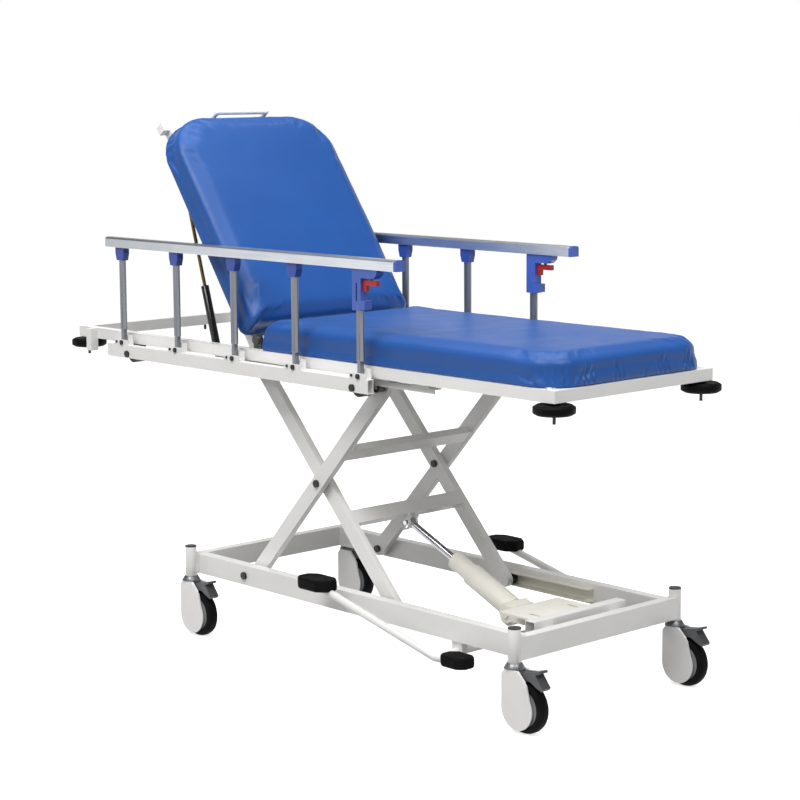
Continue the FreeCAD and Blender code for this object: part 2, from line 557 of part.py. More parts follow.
def lift_channels_top():
    """Under each frame rail: the roller's track, its packing pads and the bracket of the fixed pivot."""
    parts = []
    z = "lift_z + lift_rise"
    half, out = "(roller_rad + 0.4)", "(roller_rad + 0.4 + channel_web)"
    under = "frame_top - frame_tube"
    for name, side in SIDES.items():
        inner = "outer_arm_y + arm_thick + 6"
        low_y = side_y(side, inner, f"{inner} + channel_deep")
        angle = box(f"roller_track_{name}_block",
                    ("track_end_x - track_x", "channel_deep", f"{out} - track_lip"),
                    ("track_x", low_y, f"{z} + track_lip"))
        inside = box(f"roller_track_{name}_inside",
                     ("track_end_x - track_x", "channel_deep", f"{half} - track_lip"),
                     ("track_x", f"{low_y} - {side} * channel_web", f"{z} + track_lip"))
        parts.append(cut(f"roller_track_{name}", angle, [inside]))
        for end, x in (("head", "track_x + 20"), ("foot", "track_end_x - 80")):
            parts.append(box(f"packing_{name}_{end}", ("60", "channel_deep", f"{under} - ({z} + {out})"),
                             (x, low_y, f"{z} + {out}")))
        pivot_plate = box(f"pivot_{name}_plate", ("70", "8", f"{under} - ({z}) + 24"),
                          ("lift_x - 35", side_y(side, "outer_arm_y - 2", "outer_arm_y + 6"), f"{z} - 24"))
        pivot_flange = box(f"pivot_{name}_flange", ("300", "50", "4"),
                           ("lift_x - 125", side_y(side, "outer_arm_y - 2", "outer_arm_y + 48"),
                            f"{under} - 4"))
        pivot_skirt = box(f"pivot_{name}_skirt", ("300", "4", "28"),
                          ("lift_x - 125", side_y(side, "outer_arm_y + 44", "outer_arm_y + 48"),
                           f"{under} - 28"))
        spans = (("head", "bolt_head", "outer_arm_y + 6", "outer_arm_y + 11"),
                 ("shank", "bolt_rad", "inner_arm_y - 6", "outer_arm_y + 6"),
                 ("nut", "bolt_head", "inner_arm_y - 6", "inner_arm_y - 0.4"))
        bolt = [cylinder(f"pivot_{name}_{piece}", radius, f"({outer}) - ({inner_y})",
                         ("lift_x", side_y(side, inner_y, outer), z), "y") for piece, radius, inner_y,
                         outer in spans]
        parts.append(fuse(f"pivot_bracket_{name}", [pivot_plate, pivot_flange, pivot_skirt] + bolt))
    node("lift_channels_top", parts)


def top_frame_fittings():
    """Bumper pins, the bar's bosses with their bolts, and the stud of the gas spring."""
    parts = []
    under = "frame_top - frame_tube"
    for name, (end, side) in BUMPER_CORNERS.items():
        at = (f"{end} * (frame_half_len - bumper_inset)", f"{side} * (frame_half_wide - bumper_inset)")
        parts.append(fuse(f"bumper_pin_{name}", [
            cylinder(f"bumper_pin_{name}_shank", "bumper_pin", f"{under} - bumper_low + 22",
                     (*at, "bumper_low - 22")),
            cylinder(f"bumper_pin_{name}_collar", "12", f"{under} - bumper_low - bumper_thick - 0.4",
                     (*at, "bumper_low + bumper_thick + 0.4")),
            cylinder(f"bumper_pin_{name}_nut", "7", "5", (*at, "bumper_low - 5.4"))]))
    parts.append(cylinder("bare_pin_head_far", "bumper_pin", "16", (
        "15 - frame_half_len", "far_pin_y", f"{under} - 16")))
    for name, side in SIDES.items():
        for end in ("head", "foot"):
            boss = cylinder(f"boss_{name}_{end}_round", "25", "31", (
                f"boss_{end}_x", side_y(side, "bar_in_y - 31", "bar_in_y"), f"{under} - 25"), "y")
            seat = box(f"boss_{name}_{end}_seat", ("40", "15", "25"), (
                f"boss_{end}_x - 20", side_y(side, "bar_in_y - 31", "bar_in_y - 16"), f"{under} - 25"))
            parts.append(fuse(f"boss_{name}_{end}", [boss, seat]))
            parts.append(cylinder(f"bar_bolt_{name}_{end}", "9", "5", (
                f"boss_{end}_x", side_y(side, "bar_in_y + bar_wide", "bar_in_y + bar_wide + 5"),
                "bar_low + 12"), "y"))
        outer = "bar_in_y + bar_wide"
        for i in range(5):
            x = f"rail_post_x + {i} * rail_pitch"
            parts.append(cylinder(f"foot_bolt_{name}_{i}", "6.5", "4", (
                x, side_y(side, outer, f"{outer} + 4"), "foot_pivot_z"), "y"))
            parts.append(cylinder(f"foot_screw_{name}_{i}", "3.5", "2.5", (
                f"{x} - 24", side_y(side, outer, f"{outer} + 2.5"), "foot_pivot_z + 1"), "y"))
    parts.append(cylinder("spring_stud", "5", "24.5", ("spring_x", "spring_y - 13", "spring_z"), "y"))
    node("top_frame_fittings", parts)


def iv_socket():
    """Square upright on the near rail at the head end, bored for an infusion pole."""
    low_y = "-frame_half_wide - socket_size"
    block = box("iv_socket_block", ("socket_size", "socket_size", "frame_top - socket_low"),
                ("socket_x - socket_size / 2", low_y, "socket_low"))
    bore = cylinder("iv_socket_bore", "socket_bore", "frame_top - socket_low + 2",
                    ("socket_x", f"{low_y} + socket_size / 2", "socket_low - 1"))
    node("iv_pole_socket", [cut("iv_socket_bored", block, [bore])])


def bumper(name, end, side):
    wheel = turned(f"bumper_{name}", [
        ("bumper_pin + running_gap", "0"), ("bumper_rad - 8", "0"), ("bumper_rad", "5"),
        ("bumper_rad", "bumper_thick - 5"), ("bumper_rad - 8", "bumper_thick"),
        ("bumper_pin + running_gap", "bumper_thick")])
    put(node(f"bumper_wheel_{name}", [wheel]),
        (f"{end} * (frame_half_len - bumper_inset)", f"{side} * (frame_half_wide - bumper_inset)",
         "bumper_low"))


# ---------------------------------------------------------------- cushions and backrest

def cushion(name, length):
    """A flat slab from x = 0, with rounded corners at its far end and a softened outline."""
    slab = padded(name, "XY_Plane", [("0", "-pad_half_wide"), (length, "-pad_half_wide"),
                                     (length, "pad_half_wide"), ("0", "pad_half_wide")], "pad_thick",
                                     symmetric=False)
    body_length = slab.Shape.BoundBox.XMax
    slab = rounded(slab, "pad_corner",
                   lambda edge: runs_along("z")(edge) and edge.Vertexes[0].X > body_length / 2)
    return rounded(slab, "12", lambda edge: edge.Vertexes[0].Z > 1 and edge.Vertexes[-1].Z > 1)


def seat_cushion():
    slab = cushion("leg_cushion_slab", "seat_foot_x - seat_head_x")
    put(node("leg_cushion", [slab]), ("seat_head_x", "0", "frame_top + deck_thick + 0.3"))


REST_TURN = ((0, 1, 0), "rest_angle")


def backrest():
    """Built as it lies when flat, from the hinge towards -X, and then raised to its angle."""
    at = ("hinge_x", "0", "hinge_z")
    parts = []
    for name, side in SIDES.items():
        parts.append(tube(f"rest_side_{name}", ("rest_len - rest_tube - 45", "rest_tube", "rest_tube"),
                          ("rest_tube - rest_len", side_y(side, "rest_side_y", "rest_side_y + rest_tube"),
                           "rest_tube_low"), "x"))
        ear_y = side_y(side, "rest_half_wide", "rest_half_wide + 5")
        ear = fuse(f"rest_ear_{name}", [
            cylinder(f"rest_ear_{name}_eye", "14", "5", ("0", ear_y, "0"), "y"),
            box(f"rest_ear_{name}_neck", ("28", "5", "-rest_tube_low"), ("-14", ear_y, "rest_tube_low")),
            box(f"rest_ear_{name}_web", ("59", "5", "rest_tube"), ("-45", ear_y, "rest_tube_low"))])
        parts.append(cut(f"rest_ear_{name}_bored", ear, [cylinder(
            f"rest_ear_{name}_hole", "5 + running_gap", "600", ("0", "-300", "0"), "y")]))
    for name, low_x in (("low", "-45"), ("top", "-rest_len")):
        cross = tube(f"rest_cross_{name}_tube", ("rest_tube", "2 * rest_half_wide", "rest_tube"),
                     (low_x, "-rest_half_wide", "rest_tube_low"), "y")
        ends = [box(f"rest_cross_{name}_end_{face}", ("rest_tube", "wall", "rest_tube"), (
            low_x, side_y(side, "rest_half_wide - wall", "rest_half_wide"), "rest_tube_low"))
                for face, side in SIDES.items()]
        parts.append(fuse(f"rest_cross_{name}", [cross] + ends))
    parts.append(box("rest_panel", ("rest_len - 45", "2 * rest_side_y + 2 * rest_tube", "2.5"),
                     ("-rest_len", "-rest_side_y - rest_tube", "rest_tube_low + rest_tube")))
    parts.append(cylinder("spring_top_stud", "5", "4",
                          ("-spring_at", "-rest_side_y - rest_tube - 4", "-37"), "y"))
    hoop = [cylinder("hoop_bar", "hoop_rad", "2 * hoop_half_wide",
                     ("-hoop_at", "-hoop_half_wide", "hoop_high"), "y")]
    for name, side in SIDES.items():
        hoop.append(cylinder(f"hoop_leg_{name}", "hoop_rad", "hoop_high - rest_tube_low - rest_tube - 2.5",
                             ("-hoop_at", f"{side} * hoop_half_wide", "rest_tube_low + rest_tube + 2.5")))
        bend = doc.addObject("Part::Sphere", f"hoop_bend_{name}")
        bind(bend, Radius="hoop_rad")
        hoop.append(put(bend, ("-hoop_at", f"{side} * hoop_half_wide", "hoop_high")))
    parts.append(fuse("mattress_hoop", hoop))
    put(node("backrest_frame", parts), at, *REST_TURN)

    slab = doc.addObject("PartDesign::Body", "back_cushion_slab")
    pad = slab.newObject("PartDesign::Pad", "back_cushion_pad")
    pad.Profile = outline(slab, "back_cushion_outline", "XY_Plane", [
        ("-back_pad_high", "-pad_half_wide"), ("-back_pad_low", "-pad_half_wide"),
        ("-back_pad_low", "pad_half_wide"), ("-back_pad_high", "pad_half_wide")])
    bind(pad, Length="back_pad_thick")
    doc.recompute()
    middle = slab.Shape.BoundBox.Center.x
    rounded(slab, "back_pad_corner", lambda edge: runs_along("z")(edge) and edge.Vertexes[0].X < middle)
    rounded(slab, "25",
            lambda edge: runs_along("y")(edge) and edge.Vertexes[0].X > middle and edge.Vertexes[0].Z > 1)
    sunk = ("hinge_x + back_pad_under * sin(rest_angle * 1 deg)", "0",
            "hinge_z + back_pad_under * cos(rest_angle * 1 deg)")
    put(node("back_cushion", [slab]), sunk, *REST_TURN)


def backrest_hinges():
    """Lugs on the top rails, each with the pin that the backrest's ear turns on."""
    parts = []
    for name, side in SIDES.items():
        lug = box(f"hinge_lug_{name}", ("32", "6", "hinge_z - frame_top + 16"),
                  ("hinge_x - 16", side_y(side, "253", "259"), "frame_top"))
        parts.append(fuse(f"hinge_{name}", [lug] + [
            cylinder(f"hinge_{name}_{piece}", radius, f"{outer} - {inner}",
                     ("hinge_x", side_y(side, inner, outer), "hinge_z"), "y")
            for piece, radius, inner, outer in (("pin", "5", "242", "260"), ("cap", "13", "259", "266"))]))
    node("backrest_hinges", parts)


def gas_spring():
    """Cylinder on its lower stud, and the rod whose eye stands just clear of the backrest's stud."""
    turn = ((0, -1, 0), "spring_tilt - 90")
    at = ("spring_x", "spring_y", "spring_z")
    body = fuse("spring_tube_blank", [
        cylinder("spring_tube", "spring_tube_rad", "spring_tube_len", ("0", "0", "0")),
        cylinder("spring_low_eye", "spring_tube_rad", "2 * spring_tube_rad - 2",
                 ("0", "1 - spring_tube_rad", "0"), "y")])
    holes = [cylinder("spring_low_hole", "5 + running_gap", "40", ("0", "-20", "0"), "y"),
             cylinder("spring_rod_bore", "spring_rod_rad + running_gap", "spring_tube_len",
                      ("0", "0", "12"))]
    put(node("gas_spring_tube", [cut("spring_tube_bored", body, holes)]), at, *turn)
    rod = fuse("spring_rod_whole", [
        cylinder("spring_rod", "spring_rod_rad", "spring_len - spring_tube_len + 2",
                 ("0", "0", "spring_tube_len - 2")),
        cylinder("spring_top_eye", "7", "14", ("0", "-6", "spring_len"), "y")])
    put(node("gas_spring_rod", [rod]), at, *turn)


# ---------------------------------------------------------------- side rails

def side_bars():
    """The fixed bar of each side rail, with a cheek on each side of every post's foot pivot."""
    parts = []
    for name, side in SIDES.items():
        parts.append(tube(f"bar_{name}", ("bar_foot_x - bar_head_x", "bar_wide", "bar_high"),
                          ("bar_head_x", side_y(side, "bar_in_y", "bar_in_y + bar_wide"), "bar_low"), "x"))
        for i in range(5):
            x = f"rail_post_x + {i} * rail_pitch"
            top = "bar_low + bar_high"
            inner = box(f"cheek_in_{name}_{i}", ("56", "3", "26"),
                        (f"{x} - 28", side_y(side, "bar_in_y", "bar_in_y + 3"), top))
            outer_y = side_y(side, "bar_in_y + bar_wide - 3", "bar_in_y + bar_wide")
            outer = box(f"cheek_out_{name}_{i}", ("62", "3", "14"), (f"{x} - 34", outer_y, top))
            pin = cylinder(f"foot_pin_{name}_{i}", "rail_pin", "bar_wide", (
                x, side_y(side, "bar_in_y", "bar_in_y + bar_wide"), "foot_pivot_z"), "y")
            parts.append(fuse(f"foot_bracket_{name}_{i}", [inner, outer, pin]))
    node("side_rail_bars", parts)


def rail_post(name, side, i):
    """Oval post on a flat tongue; all but the one in the latch have a wide sleeve at the top."""
    label = f"rail_post_{name}_{i + 1}"
    oval = doc.addObject("Part::Ellipse", f"{label}_oval")
    bind(oval, MajorRadius="post_wide / 2", MinorRadius="post_deep / 2")
    put(oval, ("0", "0", "38"))
    stem = doc.addObject("Part::Extrusion", f"{label}_stem")
    stem.Base = oval
    stem.DirMode = "Custom"
    stem.Dir = FreeCAD.Vector(0, 0, 1)
    stem.Solid = True
    bind(stem, LengthFwd="head_pivot_z - foot_pivot_z - 36")
    tongue = [cylinder(f"{label}_tongue_end", "5.6", "12", ("0", "-6", "0"), "y"),
              box(f"{label}_tongue", ("11.2", "12", "42"), ("-5.6", "-6", "0"))]
    solids = [stem] + tongue
    top = "head_pivot_z - foot_pivot_z"
    if i < 4:
        sleeve = padded(f"{label}_sleeve", "XZ_Plane", [
            ("-13.5", "-40"), ("13.5", "-40"), ("19", "-20"), ("19", "3"), ("-19", "3"), ("-19", "-20")],
            "20")
        solids.append(put(sleeve, ("0", "0", top)))
    tools = [cylinder(f"{label}_foot_hole", "rail_pin + running_gap", "40", ("0", "-20", "0"), "y"),
             cylinder(f"{label}_head_hole", "rail_pin + running_gap", "40", ("0", "-20", top), "y")]
    for k, (x, way) in enumerate(((-4.5, 1), (4.5, 1), (-4.5, -1), (4.5, -1))):
        tools.append(cylinder(f"{label}_groove_{k}", "1.6", f"{top} - 82", (str(x), f"{way} * 7.4", "41")))
    put(node(label, [cut(f"{label}_cut", fuse(f"{label}_blank", solids), tools)]),
        (f"rail_post_x + {i} * rail_pitch", f"{side} * rail_y", "foot_pivot_z"))


RAIL_OUTSIDE = [("-rail_wide / 2", "0"), ("-rail_wide / 2", "rail_high - 5"),
                ("3 - rail_wide / 2", "rail_high - 1.2"),
                ("-6", "rail_high"), ("6", "rail_high"), ("rail_wide / 2 - 3", "rail_high - 1.2"),
                ("rail_wide / 2", "rail_high - 5"), ("rail_wide / 2", "0")]
RAIL_INSIDE = [("rail_wide / 2 - rail_wall", "0"), ("rail_wide / 2 - rail_wall", "rail_high - 7"),
               ("rail_wide / 2 - rail_wall - 2.5", "rail_high - 2.6"),
               ("rail_wall + 2.5 - rail_wide / 2", "rail_high - 2.6"),
               ("rail_wall - rail_wide / 2", "rail_high - 7"), ("rail_wall - rail_wide / 2", "0")]


def hand_rail(name, side):
    """Downward-open channel with a softened top, its pivot pins, the end cap and the latch housing."""
    at = ("0", f"{side} * rail_y", "0")
    channel = padded(f"rail_channel_{name}", "YZ_Plane", RAIL_OUTSIDE + RAIL_INSIDE,
                     "rail_foot_x - rail_head_x", symmetric=False)
    put(channel, ("rail_head_x", "0", "rail_low"))
    end_plate = box(f"rail_end_{name}", ("rail_wall", "rail_wide - 2 * rail_wall", "13"),
                    ("rail_head_x", "rail_wall - rail_wide / 2", "rail_low + rail_high - 15.6"))
    pins = [cylinder(f"rail_pin_{name}_{i}", "rail_pin", "rail_wide",
                     (f"rail_post_x + {i} * rail_pitch", "-rail_wide / 2", "head_pivot_z"),
                     "y") for i in range(5)]
    put(node(f"side_rail_{name}", [fuse(f"rail_whole_{name}", [channel, end_plate] + pins)]), at)

    post = "(rail_post_x + 4 * rail_pitch)"
    housing = padded(f"latch_shell_{name}", "XZ_Plane", [
        (f"{post} - 16", "rail_low"), (f"{post} + 76", "rail_low"), (f"{post} + 73", "rail_low - 12"),
        (f"{post} + 61", "rail_low - 22"), (f"{post} + 16", "rail_low - 22"),
        (f"{post} + 16", "rail_low - 78"),
        (f"{post} + 30", "rail_low - 78"), (f"{post} + 30", "rail_low - 100"),
        (f"{post} + 16", "rail_low - 100"),
        (f"{post} + 16", "rail_low - 103"), (f"{post} - 16", "rail_low - 103")], "24")
    plug = box(f"latch_plug_{name}", ("58", "20", "rail_high - 3"), (f"{post} + 16", "-10", "rail_low"))
    tools = [box(f"latch_post_space_{name}", ("33", "16", "120"), (f"{post} - 20", "-8", "rail_low - 110")),
             box(f"latch_slot_{name}", ("5", "8", "45"),
                 (f"{post} - 2.5", f"{side} * 10 - 4", "rail_low - 80")),
             cylinder(f"latch_stem_bore_{name}", "4 + running_gap", "26",
                      (f"{post} + 42", "0", "rail_low - 23"))]
    shell = cut(f"latch_housing_{name}", fuse(f"latch_blank_{name}", [housing, plug]), tools)
    cap = padded(f"rail_cap_{name}", "YZ_Plane", RAIL_OUTSIDE, "9", symmetric=False)
    put(cap, ("rail_foot_x", "0", "rail_low"))
    put(node(f"rail_latch_{name}", [shell, cap]), at)

    trigger = padded(f"trigger_bar_{name}", "XZ_Plane", [
        (f"{post} + 17", "rail_low - 55"), (f"{post} + 29", "rail_low - 55"),
        (f"{post} + 29", "rail_low - 40"),
        (f"{post} + 67", "rail_low - 40"), (f"{post} + 67", "rail_low - 26.5"),
        (f"{post} + 17", "rail_low - 26.5")], "12")
    stem = cylinder(f"trigger_stem_{name}", "4", "24", (f"{post} + 42", "0", "rail_low - 28"))
    put(node(f"rail_trigger_{name}", [fuse(f"trigger_whole_{name}", [trigger, stem])]), at)


# ---------------------------------------------------------------- build and write

base_frame()
corner_posts()
low_roller_channels()
pump_bracket()
base_pivot_bolts()
for corner, (end_sign, side_sign) in CORNERS.items():
    castor(corner, end_sign, side_sign)
for corner, (end_sign, side_sign) in BUMPER_CORNERS.items():
    bumper(corner, end_sign, side_sign)
outer_arms()
inner_arms()
mid_bolts()
rollers("top_rollers", "outer_arm_y + arm_thick + 3", "lift_z + lift_rise")
rollers("low_rollers", "inner_arm_y + arm_thick + 3", "lift_z")
pump()
pedals()
top_frame()
lift_channels_top()
top_frame_fittings()
iv_socket()
seat_cushion()
backrest()
backrest_hinges()
gas_spring()
side_bars()
for side_name, side_sign in SIDES.items():
    for post_index in range(5):
        rail_post(side_name, side_sign, post_index)
    hand_rail(side_name, side_sign)
doc.recompute()

for part in doc.Objects:
    if "Invalid" in part.State or "Error" in part.State:
        raise RuntimeError(f"{part.Name} did not rebuild: {part.State}")
for part in nodes:
    if part.Shape.isNull() or not part.Shape.isValid() or not part.Shape.Solids:
        raise RuntimeError(f"{part.Label} has no valid solid")
os.makedirs("parts", exist_ok=True)
for part in nodes:
    part.Shape.exportStep(f"parts/{part.Label}.step")
print(f"{len(nodes)} sub-parts written")
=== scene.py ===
import json
import math

import bmesh
import bpy
import numpy as np
from mathutils import Matrix, Vector, noise


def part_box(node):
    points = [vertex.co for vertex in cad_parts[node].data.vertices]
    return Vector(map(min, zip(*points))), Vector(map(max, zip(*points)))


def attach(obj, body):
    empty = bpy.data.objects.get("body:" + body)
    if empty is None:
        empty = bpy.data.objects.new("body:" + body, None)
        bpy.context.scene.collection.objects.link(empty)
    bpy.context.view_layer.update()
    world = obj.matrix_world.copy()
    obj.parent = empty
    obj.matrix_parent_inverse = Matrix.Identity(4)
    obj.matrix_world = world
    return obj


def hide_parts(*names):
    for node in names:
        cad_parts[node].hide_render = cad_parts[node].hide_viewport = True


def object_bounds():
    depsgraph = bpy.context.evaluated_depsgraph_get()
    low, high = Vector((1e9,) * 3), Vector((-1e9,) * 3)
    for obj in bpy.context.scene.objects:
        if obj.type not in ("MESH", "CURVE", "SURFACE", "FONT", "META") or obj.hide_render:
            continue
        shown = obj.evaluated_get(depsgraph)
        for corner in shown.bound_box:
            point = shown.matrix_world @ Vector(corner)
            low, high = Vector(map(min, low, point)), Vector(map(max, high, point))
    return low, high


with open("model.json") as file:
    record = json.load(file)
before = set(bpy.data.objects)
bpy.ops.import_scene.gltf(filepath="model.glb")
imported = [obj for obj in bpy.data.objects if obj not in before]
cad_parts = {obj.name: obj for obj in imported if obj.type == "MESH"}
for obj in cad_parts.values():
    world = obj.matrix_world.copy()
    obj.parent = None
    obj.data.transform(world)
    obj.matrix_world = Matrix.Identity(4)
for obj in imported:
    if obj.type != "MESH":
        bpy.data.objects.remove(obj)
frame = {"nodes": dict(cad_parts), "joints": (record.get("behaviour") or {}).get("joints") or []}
box_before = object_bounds()
NODES = frame["nodes"]
JOINTS = {j["name"]: j for j in frame["joints"]}
CORNERS = ("head_near", "head_far", "foot_near", "foot_far")
SIDES = ("near", "far")
TYRE_INSIDE = 0.046


# ---------------------------------------------------------------- materials

def srgb(red, green, blue):
    """Linear colour of an 8-bit display colour."""
    out = []
    for value in (red, green, blue):
        c = value / 255
        out.append(c / 12.92 if c <= 0.04045 else ((c + 0.055) / 1.055) ** 2.4)
    return (*out, 1.0)


def scaled(colour, factor):
    return tuple(min(1.0, c * factor) for c in colour[:3]) + (1.0,)


class Finish:
    """A procedural material: the shader, plus helpers that add and join nodes."""

    def __init__(self, name, **sockets):
        self.material = bpy.data.materials.new(name)
        self.material.use_nodes = True
        self.tree = self.material.node_tree
        self.shader = self.tree.nodes["Principled BSDF"]
        for socket, value in sockets.items():
            self.shader.inputs[socket.replace("_", " ")].default_value = value
        self.place = self.add("ShaderNodeTexCoord").outputs["Object"]

    def add(self, kind, **settings):
        node = self.tree.nodes.new(kind)
        for key, value in settings.items():
            setattr(node, key, value)
        return node

    def join(self, source, target):
        self.tree.links.new(source, target)

    def stretched(self, scale, rotation=(0, 0, 0)):
        node = self.add("ShaderNodeMapping")
        node.inputs["Scale"].default_value = scale
        node.inputs["Rotation"].default_value = rotation
        self.join(self.place, node.inputs["Vector"])
        return node.outputs["Vector"]

    def noise(self, scale, detail=2.0, roughness=0.5, vector=None):
        node = self.add("ShaderNodeTexNoise")
        node.inputs["Scale"].default_value = scale
        node.inputs["Detail"].default_value = detail
        node.inputs["Roughness"].default_value = roughness
        self.join(vector or self.place, node.inputs["Vector"])
        return node.outputs["Fac"]

    def voronoi(self, scale):
        node = self.add("ShaderNodeTexVoronoi", feature="DISTANCE_TO_EDGE")
        node.inputs["Scale"].default_value = scale
        self.join(self.place, node.inputs["Vector"])
        return node.outputs["Distance"]

    def wave(self, scale, direction):
        node = self.add("ShaderNodeTexWave", bands_direction=direction)
        node.inputs["Scale"].default_value = scale
        self.join(self.place, node.inputs["Vector"])
        return node.outputs["Fac"]

    def ramp(self, source, stops):
        node = self.add("ShaderNodeValToRGB")
        elements = node.color_ramp.elements
        while len(elements) < len(stops):
            elements.new(0.5)
        for element, (position, colour) in zip(elements, stops):
            element.position = position
            element.color = colour if len(colour) == 4 else (*colour, 1.0)
        self.join(source, node.inputs["Fac"])
        return node.outputs["Color"]

    def span(self, source, low, high, start=0.0, end=1.0):
        node = self.add("ShaderNodeMapRange")
        for socket, value in (("From Min", start), ("From Max", end), ("To Min", low), ("To Max", high)):
            node.inputs[socket].default_value = value
        self.join(source, node.inputs["Value"])
        return node.outputs["Result"]

    def maths(self, operation, a, b):
        node = self.add("ShaderNodeMath", operation=operation)
        for socket, value in zip(node.inputs, (a, b)):
            if isinstance(value, (int, float)):
                socket.default_value = value
            else:
                self.join(value, socket)
        return node.outputs["Value"]

    def mixed(self, factor, a, b, blend="MIX"):
        node = self.add("ShaderNodeMix", data_type="RGBA", blend_type=blend)
        if isinstance(factor, (int, float)):
            node.inputs["Factor"].default_value = factor
        else:
            self.join(factor, node.inputs["Factor"])
        for socket, value in ((node.inputs[6], a), (node.inputs[7], b)):
            if isinstance(value, tuple):
                socket.default_value = value
            else:
                self.join(value, socket)
        return node.outputs[2]

    def axis(self, letter):
        node = self.add("ShaderNodeSeparateXYZ")
        self.join(self.place, node.inputs["Vector"])
        return node.outputs[letter]

    def colour(self, source):
        self.join(source, self.shader.inputs["Base Color"])

    def rough(self, source, low, high):
        self.join(self.span(source, low, high, 0.25, 0.75), self.shader.inputs["Roughness"])

    def bump(self, *layers):
        """Layers of (height, strength, distance in metres), one on another."""
        previous = None
        for height, strength, distance in layers:
            node = self.add("ShaderNodeBump")
            node.inputs["Strength"].default_value = strength
            node.inputs["Distance"].default_value = distance
            self.join(height, node.inputs["Height"])
            if previous:
                self.join(previous, node.inputs["Normal"])
            previous = node.outputs["Normal"]
        self.join(previous, self.shader.inputs["Normal"])


def painted(name, colour, gloss=(0.30, 0.42), coat=0.25, peel=0.12, dust=0.0):
    """Powder coat or gloss paint on steel: orange peel, faint clouding, rubbed specks and dust low down."""
    f = Finish(name, Coat_Weight=coat, Coat_Roughness=0.18, IOR=1.45)
    cloud = f.noise(5.0, 4.0, 0.6)
    tone = f.ramp(cloud, [(0.3, scaled(colour, 0.93)), (0.7, colour)])
    streak = f.noise(1.0, 3.0, 0.7, f.stretched((18, 160, 160), (0.2, 0.1, 0.3)))
    rubbed = f.ramp(streak, [(0.66, (0, 0, 0)), (0.74, (1, 1, 1))])
    speck = f.ramp(f.noise(46.0, 3.0, 0.7), [(0.64, (0, 0, 0)), (0.70, (1, 1, 1))])
    marks = f.maths("MULTIPLY", rubbed, speck)
    tone = f.mixed(f.maths("MULTIPLY", marks, 0.45), tone, scaled(colour, 0.55))
    if dust:
        low = f.span(f.axis("Z"), 1.0, 0.0, 0.05, 0.45)
        film = f.maths("MULTIPLY", f.maths("MULTIPLY", low, f.noise(14.0, 4.0, 0.65)), dust)
        tone = f.mixed(film, tone, srgb(150, 144, 134))
    f.colour(tone)
    f.rough(f.noise(22.0, 3.0, 0.6), *gloss)
    f.bump((f.noise(420.0, 1.0), peel, 0.0003), (f.noise(60.0, 2.0), 0.03, 0.0006))
    return f.material


def moulded(name, colour, gloss, grain=700.0, depth=0.10, rubbed=0.25):
    """Moulded plastic: fine spark-eroded grain, slight colour drift and paler rubbed patches."""
    f = Finish(name)
    tone = f.ramp(f.noise(16.0, 4.0, 0.6), [(0.3, scaled(colour, 0.86)), (0.7, scaled(colour, 1.08))])
    patch = f.ramp(f.noise(55.0, 5.0, 0.7), [(0.60, (0, 0, 0)), (0.76, (1, 1, 1))])
    pale = tuple(min(1.0, c * 1.35 + 0.02) for c in colour[:3]) + (1.0,)
    f.colour(f.mixed(f.maths("MULTIPLY", patch, rubbed), tone, pale))
    f.rough(f.noise(40.0, 3.0, 0.6), *gloss)
    f.bump((f.noise(grain, 2.0, 0.6), depth, 0.0003), (f.voronoi(grain * 0.6), depth * 0.5, 0.0002))
    return f.material


def rubbery(name, colour, ribs=None, gloss=(0.55, 0.78)):
    """Black rubber: matt, slightly bloomed and dusty, with optional moulded ribs."""
    f = Finish(name, IOR=1.30, Specular_IOR_Level=0.15)
    tone = f.ramp(f.noise(28.0, 5.0, 0.65), [(0.35, scaled(colour, 0.75)), (0.72, scaled(colour, 1.4))])
    bloom = f.ramp(f.noise(9.0, 4.0, 0.7), [(0.55, (0, 0, 0)), (0.80, (1, 1, 1))])
    f.colour(f.mixed(f.maths("MULTIPLY", bloom, 0.10), tone, srgb(70, 68, 67)))
    f.rough(f.noise(35.0, 3.0, 0.6), *gloss)
    layers = [(f.noise(900.0, 2.0, 0.6), 0.15, 0.0003)]
    if ribs:
        layers.append((f.wave(ribs[0], ribs[1]), 0.55, 0.0008))
    f.bump(*layers)
    return f.material


def brushed(name, colour, along, gloss, metal, depth, painted_shade_along_x=None):
    """Metal brushed or drawn along one axis, with a slightly uneven sheen; optionally with painted shade
    that darkens it towards low x.
    """
    f = Finish(name, Metallic=metal)
    scale = [900.0, 900.0, 900.0]
    scale["XYZ".index(along)] = 6.0
    hair = f.noise(1.0, 3.0, 0.7, f.stretched(tuple(scale)))
    tone = f.ramp(hair, [(0.30, scaled(colour, 0.84)), (0.70, scaled(colour, 1.06))])
    cloud = f.ramp(f.noise(7.0, 4.0, 0.6), [(0.3, (0.90, 0.90, 0.90)), (0.7, (1.0, 1.0, 1.0))])
    tone = f.mixed(1.0, tone, cloud, "MULTIPLY")
    # Painted shade: the colour is multiplied darker from the end x back towards the start x.
    if painted_shade_along_x:
        start, end, dull = painted_shade_along_x
        run = f.span(f.axis("X"), 0.0, 1.0, start, end)
        fade = f.ramp(run, [(0.0, (dull, dull, dull)), (1.0, (1.0, 1.0, 1.0))])
        tone = f.mixed(1.0, tone, fade, "MULTIPLY")
    f.colour(tone)
    f.rough(hair, *gloss)
    f.bump((hair, depth, 0.0002), (f.noise(30.0, 2.0), 0.03, 0.0008))
    return f.material


